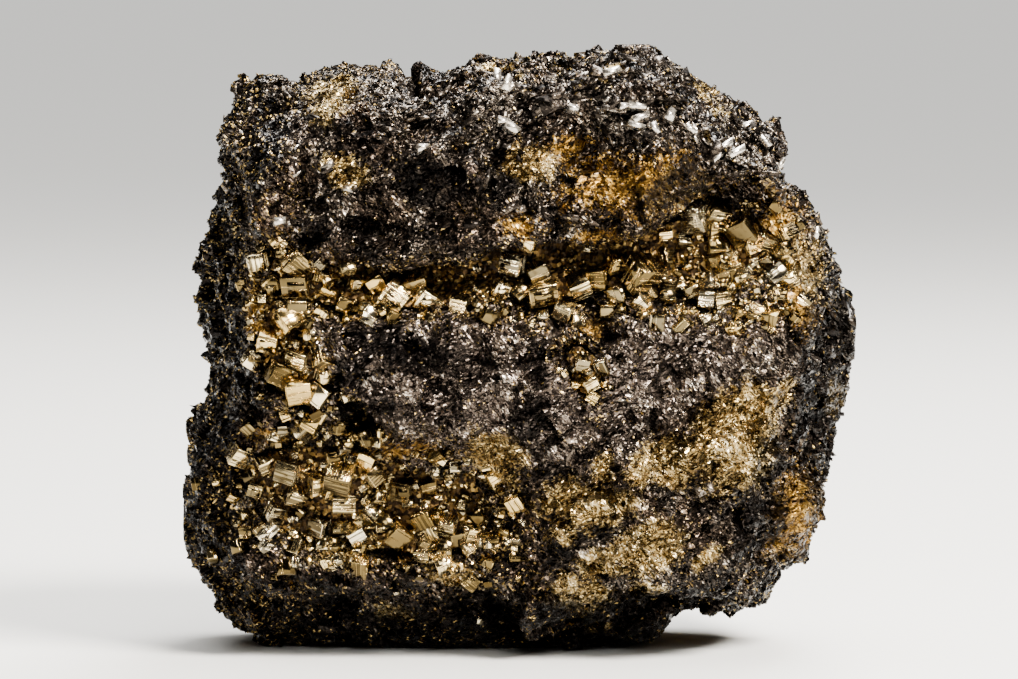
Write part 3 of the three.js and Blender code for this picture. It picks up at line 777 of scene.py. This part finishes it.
def add(tree, kind, inputs=None, **settings):
    """Adds a node with its settings, and links or sets its inputs."""
    made = tree.nodes.new(kind)
    for key, value in settings.items():
        setattr(made, key, value)
    for key, value in (inputs or {}).items():
        if isinstance(value, bpy.types.NodeSocket):
            tree.links.new(value, made.inputs[key])
        else:
            made.inputs[key].default_value = value
    return made


def new_material(name):
    material = bpy.data.materials.new(name)
    material.use_nodes = True
    material.node_tree.nodes.clear()
    return material, material.node_tree


def ramp(tree, factor, stops):
    """A colour ramp through (position, sRGB hex) stops."""
    made = add(tree, "ShaderNodeValToRGB", {"Fac": factor})
    while len(made.color_ramp.elements) < len(stops):
        made.color_ramp.elements.new(0.5)
    for element, (position, code) in zip(made.color_ramp.elements, stops):
        element.position = position
        element.color = linear(code)
    return made.outputs["Color"]


def mixed(tree, factor, first, second):
    """Two colours mixed."""
    made = add(tree, "ShaderNodeMix", {0: factor}, data_type="RGBA")
    for socket, value in ((made.inputs[6], first), (made.inputs[7], second)):
        if isinstance(value, bpy.types.NodeSocket):
            tree.links.new(value, socket)
        else:
            socket.default_value = value
    return made.outputs[2]


def stepped(tree, value, low, high):
    """0 below low, 1 above high, and smooth between."""
    span = {"Value": value, "From Min": low, "From Max": high}
    return add(tree, "ShaderNodeMapRange", span, interpolation_type="SMOOTHSTEP").outputs["Result"]


def math_of(tree, operation, a, b):
    return add(tree, "ShaderNodeMath", {0: a, 1: b}, operation=operation).outputs[0]


def cells(tree, place, size):
    """Irregular cells about size mm across: their random colour, and its three parts."""
    made = add(tree, "ShaderNodeTexVoronoi", {"Vector": place, "Scale": 1 / (size * MM)}).outputs["Color"]
    parts = add(tree, "ShaderNodeSeparateColor", {"Color": made})
    return made, [parts.outputs[k] for k in range(3)]


def blades(tree, place, turn):
    """Places drawn out along one direction in the front view, so that patterns on them come out bladed."""
    inputs = {"Vector": place, "Rotation": (0, turn, 0), "Scale": (BLADE_STRETCH, 1, 1)}
    return add(tree, "ShaderNodeMapping", inputs, vector_type="TEXTURE").outputs["Vector"]


def mixed_places(tree, factor, first, second):
    """One of two places, chosen by a factor of 0 or 1."""
    return add(tree, "ShaderNodeMix", {0: factor, 4: first, 5: second}, data_type="VECTOR").outputs[1]


def vector_math(tree, operation, inputs):
    return add(tree, "ShaderNodeVectorMath", inputs, operation=operation).outputs[0]


def leaning(tree, colour, amount):
    """A small vector of its own for each cell, to lean its reflections by."""
    around = vector_math(tree, "SUBTRACT", {0: colour, 1: (0.5, 0.5, 0.5)})
    return vector_math(tree, "SCALE", {0: around, "Scale": amount})


def faceted(tree, *leans):
    """The surface's direction with all these leans added."""
    total = add(tree, "ShaderNodeNewGeometry").outputs["Normal"]
    for lean in leans:
        total = vector_math(tree, "ADD", {0: total, 1: lean})
    return vector_math(tree, "NORMALIZE", {0: total})


def times(tree, *values):
    """The product of some values."""
    total = values[0]
    for value in values[1:]:
        total = math_of(tree, "MULTIPLY", total, value)
    return total


def less(tree, value):
    """One minus a value."""
    return math_of(tree, "SUBTRACT", 1, value)


def noisy(tree, place, size, detail, roughness=0.5):
    """Noise with features about size mm across."""
    inputs = {"Vector": place, "Scale": 1 / (size * MM), "Detail": detail, "Roughness": roughness}
    return add(tree, "ShaderNodeTexNoise", inputs).outputs["Fac"]


def attribute(tree, name):
    """A number that the mesh keeps for its corners or faces."""
    return add(tree, "ShaderNodeAttribute", attribute_name=name).outputs["Fac"]


def plus(tree, *values):
    """The sum of some values."""
    total = values[0]
    for value in values[1:]:
        total = math_of(tree, "ADD", total, value)
    return total


def ranged(tree, value, low, high):
    """A value from 0 to 1, turned to one from low to high."""
    inputs = {"Value": value, "To Min": low, "To Max": high}
    return add(tree, "ShaderNodeMapRange", inputs).outputs["Result"]


def finished(tree, colour, metallic, roughness, normal=None):
    """The shader of a finish, and its way out."""
    inputs = {"Base Color": colour, "Metallic": metallic, "Roughness": roughness}
    if normal is not None:
        inputs["Normal"] = normal
    shader = add(tree, "ShaderNodeBsdfPrincipled", inputs)
    add(tree, "ShaderNodeOutputMaterial", {"Surface": shader.outputs[0]})


# The tones of the ore's finishes, from the darkest grains to the brightest.
ORE_TONES = {
    "dark": [(0, "040302"), (0.4, "15110e"), (0.65, "393129"), (0.85, "7f7365"), (1, "f1e8d8")],
    "brown": [(0, "040302"), (0.4, "17110c"), (0.7, "41352b"), (0.88, "87735f"), (1, "e4d3ba")],
    "pale": [(0, "080605"), (0.3, "28211c"), (0.6, "5e5249"), (0.85, "988b7d"), (1, "f1e6d6")],
    "silver": [(0, "080605"), (0.35, "25201c"), (0.7, "5f564c"), (1, "f4ecde")],
    "rust": [(0, "0c0702"), (0.28, "402a09"), (0.6, "946c20"), (0.85, "cfa548"), (1, "fce3a2")],
    "brass": [(0, "140e06"), (0.3, "5c4826"), (0.6, "a08854"), (1, "fdecc2")],
}


def sulphide_ore():
    """Massive sulphide ore, broken: interlocked metallic grains, each cleaved its own way, so that they
    glint one by one. It is dark grey, pinkish where it is finest, brassy where it is pyrite, and brown
    where it has rusted."""
    material, tree = new_material("massive_sulphide_ore")
    place = add(tree, "ShaderNodeTexCoord").outputs["Object"]
    patchy = noisy(tree, place, 6, 4)
    # Blades lie one way in some parts of the stone and another way in others.
    way = math_of(tree, "GREATER_THAN", patchy, 0.5)
    bladed = mixed_places(tree, way, blades(tree, place, -0.4), blades(tree, place, 0.8))
    # Grains of 0.25 mm, among them some of 0.8 mm and a few flat cleavage faces of 3.4 mm.
    grain, (red, green, blue) = cells(tree, bladed, 0.25)
    crystal, (crystal_red, crystal_green, _) = cells(tree, bladed, 0.8)
    cleaved, (cleaved_red, cleaved_green, _) = cells(tree, place, 3.4)
    some = math_of(tree, "GREATER_THAN", crystal_green, 0.5)
    few = math_of(tree, "GREATER_THAN", cleaved_green, 0.8)
    cloud = noisy(tree, place, 9, 4)
    ragged = noisy(tree, place, 1.3, 5, 0.75)
    dust = noisy(tree, place, 0.3, 2)
    fields = {key: attribute(tree, key) for key in ("brass", "rust", "pale", "silver", "gilt", "dark")}

    def share(key, low, high, spread):
        """How much of a patch shows here: its edge breaks up grain by grain."""
        loose = plus(tree, ragged, times(tree, green, 0.25), -0.625)
        return stepped(tree, plus(tree, fields[key], times(tree, loose, 0.7 * spread)), low, high)

    # Shards and cleavage faces are smoother than the grains, and each is of one tone.
    flat = attribute(tree, "smooth_face")
    grain_tone = plus(tree, times(tree, red, 0.6), times(tree, crystal_red, 0.25))
    grain_tone = plus(tree, grain_tone, times(tree, cleaved_red, 0.15))
    grain_tone = plus(tree, grain_tone, times(tree, plus(tree, patchy, -0.54), 1.1))
    grain_tone = times(tree, grain_tone, less(tree, times(tree, flat, 0.85)))
    tone = plus(tree, grain_tone, times(tree, attribute(tree, "face_tone"), flat, 0.85))
    dark = ramp(tree, tone, ORE_TONES["dark"])
    brown = ramp(tree, tone, ORE_TONES["brown"])
    colour = mixed(tree, stepped(tree, cloud, 0.42, 0.6), dark, brown)
    pale = ramp(tree, tone, ORE_TONES["pale"])
    colour = mixed(tree, times(tree, share("pale", 0.3, 0.6, 0.7), 0.75), colour, pale)
    silver = ramp(tree, tone, ORE_TONES["silver"])
    colour = mixed(tree, times(tree, share("silver", 0.5, 0.75, 1.6), 0.75), colour, silver)
    rust = ramp(tree, tone, ORE_TONES["rust"])
    rusty = times(tree, share("rust", 0.44, 0.58, 2.8), 0.85)
    colour = mixed(tree, rusty, colour, rust)
    brass = ramp(tree, tone, ORE_TONES["brass"])
    colour = mixed(tree, share("brass", 0.46, 0.56, 1.0), colour, brass)
    # Painted shade: the flanks, the foot, some hollows and blotches on the sides and the back are darkened
    # almost to black.
    shaded = times(tree, share("dark", 0.3, 0.6, 0.5), 0.84)
    colour = mixed(tree, shaded, colour, linear("060403"))
    # Specks of pyrite all through it.
    rare = math_of(tree, "SUBTRACT", 0.992, times(tree, fields["gilt"], 0.22))
    speck = math_of(tree, "GREATER_THAN", blue, rare)
    colour = mixed(tree, times(tree, speck, 0.75), colour, linear("c4a563"))

    broken = less(tree, times(tree, flat, 0.92))
    between = times(tree, less(tree, times(tree, some, 0.8)), less(tree, times(tree, few, 0.85)))
    fine = times(tree, between, broken, 1.5)
    normal = faceted(
        tree,
        leaning(tree, grain, fine),
        leaning(tree, crystal, times(tree, some, less(tree, few), broken, 1.3)),
        leaning(tree, cleaved, times(tree, few, broken, 0.9)),
    )
    grit = {"Strength": 0.5, "Distance": 0.06 * MM, "Height": dust, "Normal": normal}
    normal = add(tree, "ShaderNodeBump", grit).outputs[0]
    roughness = plus(tree, ranged(tree, blue, 0.14, 0.38), times(tree, rusty, 0.2))
    metallic = math_of(tree, "SUBTRACT", 0.94, times(tree, rusty, 0.12))
    finished(tree, colour, metallic, roughness, normal)
    return material


def pyrite():
    """Pyrite in cubes as they grew: a pale brass-yellow metal lustre, with fine growth lines that turn from
    face to face."""
    material, tree = new_material("pyrite_cube_faces")
    lines = add(tree, "ShaderNodeUVMap", uv_map="growth_lines").outputs["UV"]
    place = add(tree, "ShaderNodeTexCoord").outputs["Object"]
    tone = attribute(tree, "tone")
    # Growth lines are a few tenths of a millimetre apart, and run on for most of a face's length.
    drawn = add(tree, "ShaderNodeMapping", {"Vector": lines, "Scale": (2.0, 0.05, 1)}).outputs["Vector"]
    grain = {"Vector": drawn, "Scale": 1, "Detail": 3, "Roughness": 0.7}
    strands = add(tree, "ShaderNodeTexNoise", grain).outputs["Fac"]
    cloud = noisy(tree, place, 1.6, 3)
    # Some cubes are lined all over and some hardly at all.
    level = plus(tree, strands, times(tree, plus(tree, attribute(tree, "lined"), -0.66), 0.21))
    depth = stepped(tree, level, 0.46, 0.5)
    colour = ramp(tree, tone, [(0, "b89a58"), (0.3, "e4c47e"), (0.7, "f5dca0"), (1, "fff0c8")])
    tarnish = times(tree, stepped(tree, cloud, 0.55, 0.7), 0.55)
    colour = mixed(tree, tarnish, colour, linear("7a5a2a"))
    colour = mixed(tree, times(tree, less(tree, depth), 0.88), colour, linear("21190b"))
    # Some faces are dull and dark beside their bright neighbours: partly tarnish, partly painted shade
    # standing for faces that mirror dark surroundings.
    side = attribute(tree, "side_tarnish_and_shade")
    colour = mixed(tree, times(tree, stepped(tree, side, 0.58, 0.68), 0.82), colour, linear("3a2f19"))
    # Painted shade: cubes deep in a hollow, where little light comes in, are painted dull and brown.
    sunk = less(tree, stepped(tree, attribute(tree, "open"), 0.05, 0.4))
    colour = mixed(tree, times(tree, sunk, 0.8), colour, linear("2e1f0c"))
    grooves = add(tree, "ShaderNodeBump", {"Strength": 0.9, "Distance": 0.08 * MM, "Height": depth})
    finished(tree, colour, 1.0, ranged(tree, cloud, 0.07, 0.24), grooves.outputs[0])
    return material


def crystal_bed():
    """Massive pyrite under the cubes: granular and dull brown-gold, each grain with a tone of its own."""
    material, tree = new_material("granular_pyrite_bed")
    place = add(tree, "ShaderNodeTexCoord").outputs["Object"]
    grain, (red, _, _) = cells(tree, place, 0.6)
    colour = ramp(tree, red, [(0, "0d0905"), (0.5, "2b1e0e"), (0.85, "5a431f"), (1, "a88a4c")])
    finished(tree, colour, 0.9, 0.4, faceted(tree, leaning(tree, grain, 1.2)))
    return material


def plain(name, code, roughness):
    """A matt finish of one colour."""
    material, tree = new_material(name)
    finished(tree, linear(code), 0.0, roughness)
    return material


# Putting it together


def dress(piece, material, slot, *nodes):
    """Gives a piece its finish, and hangs it on the stone's body."""
    piece.data.materials.clear()
    piece.data.materials.append(material)
    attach(piece, "root")
    if nodes:
        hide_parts(*nodes)


ore, gold, bed_finish = sulphide_ore(), pyrite(), crystal_bed()

stone = build_stone()
co = corners_of(stone.data)
for key, column in patch_values(co, normals_of(stone.data)).items():
    store(stone.data, key, column)
dress(stone, ore, "ore", "stone")
for grains in build_grains(stone):
    dress(grains, ore, "ore")
dress(build_shards(stone, "small_cleavage_shards", count=3400, longest=2.4), ore, "ore")
dress(build_shards(stone, "large_cleavage_plates", count=230, longest=5.0), ore, "ore")
dress(build_bright_faces(tree_of(stone)), ore, "ore")

HOLLOWS = [
    ("seam", "seam_crystals", SEAM_CUBES, [SEAM_COURSE, LEFT_COURSE, NOTCH_COURSE]),
    ("lower_pocket", "lower_pocket_crystals", LOWER_CUBES, [LOWER_COURSE, CRACK_COURSE]),
    ("small_pocket", "small_pocket_crystals", SMALL_CUBES, [SMALL_COURSE]),
]
for name, node, cubes, courses in HOLLOWS:
    bed = build_bed(node, name + "_bed")
    solids = tree_of(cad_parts[node])
    ground = tree_of(stone, bed)
    large = listed_cubes(solids, cubes)
    medium = grown_cubes(ground, courses, *MEDIUM_GROWTH, large)
    small = grown_cubes(ground, courses, *FINE_GROWTH, large)
    dress(bed, bed_finish, "pyrite", node)
    dress(build_cubes(name + "_cubes", ground, large + medium + small), gold, "pyrite")


# Floor, light and camera


# Half the floor's width in metres.
FLOOR_REACH = 12


def build_floor():
    """A pale floor, wide enough to fill the picture from any side."""
    bm = bmesh.new()
    bmesh.ops.create_grid(bm, x_segments=1, y_segments=1, size=FLOOR_REACH)
    mesh = bpy.data.meshes.new("studio_floor")
    bm.to_mesh(mesh)
    bm.free()
    floor = new_object("studio_floor", mesh)
    floor.data.materials.append(plain("pale_studio_paper", "cfceca", 0.9))


def area_light(name, place, target, size, power, colour):
    """A square soft light that faces a target. Its size is in metres and its power in watts."""
    data = bpy.data.lights.new(name, "AREA")
    data.shape = "SQUARE"
    data.size = size
    data.energy = power
    data.color = colour
    light = bpy.data.objects.new(name, data)
    light.location = place
    light.rotation_euler = (Vector(target) - Vector(place)).to_track_quat("-Z", "Y").to_euler()
    bpy.context.scene.collection.objects.link(light)


build_floor()
middle = (0, 0, 0.055)
area_light("key_light", (0.48, -0.5, 0.72), middle, 0.34, 58, (1, 0.95, 0.88))
area_light("front_light", (0.15, -1.1, 0.75), middle, 0.5, 9, (1, 0.97, 0.93))
area_light("back_light", (0.2, 0.5, 0.85), middle, 0.4, 26, (1, 0.98, 0.95))
sky_light = bpy.data.objects.new("sky_light", bpy.data.lights.new("sky_light", "SUN"))
sky_light.data.energy = 4.6
sky_light.data.angle = math.radians(60)
sky_light.rotation_euler = Euler((math.radians(-11), 0, 0))
bpy.context.scene.collection.objects.link(sky_light)

world = bpy.data.worlds.new("soft_room")
world.use_nodes = True
world.node_tree.nodes["Background"].inputs["Color"].default_value = linear("cfcbc4")
world.node_tree.nodes["Background"].inputs["Strength"].default_value = 0.05
bpy.context.scene.world = world

# The camera looks at the front from 4 degrees up, from so far away that the view is nearly parallel. The
# photograph shows this width in metres at the place that the camera aims at.
ELEVATION = math.radians(4)
DISTANCE = 1.1
VIEW_WIDTH = 0.1792
SENSOR_WIDTH = 36
AIM = Vector((-1.6, -20, 56.3)) * MM
camera_data = bpy.data.cameras.new("camera")
camera_data.sensor_width = SENSOR_WIDTH
camera_data.lens = SENSOR_WIDTH * DISTANCE / VIEW_WIDTH
camera_data.clip_end = 20
camera = bpy.data.objects.new("camera", camera_data)
camera.location = AIM + DISTANCE * Vector((0, -math.cos(ELEVATION), math.sin(ELEVATION)))
camera.rotation_euler = Euler((math.pi / 2 - ELEVATION, 0, 0))
bpy.context.scene.collection.objects.link(camera)
bpy.context.scene.camera = camera
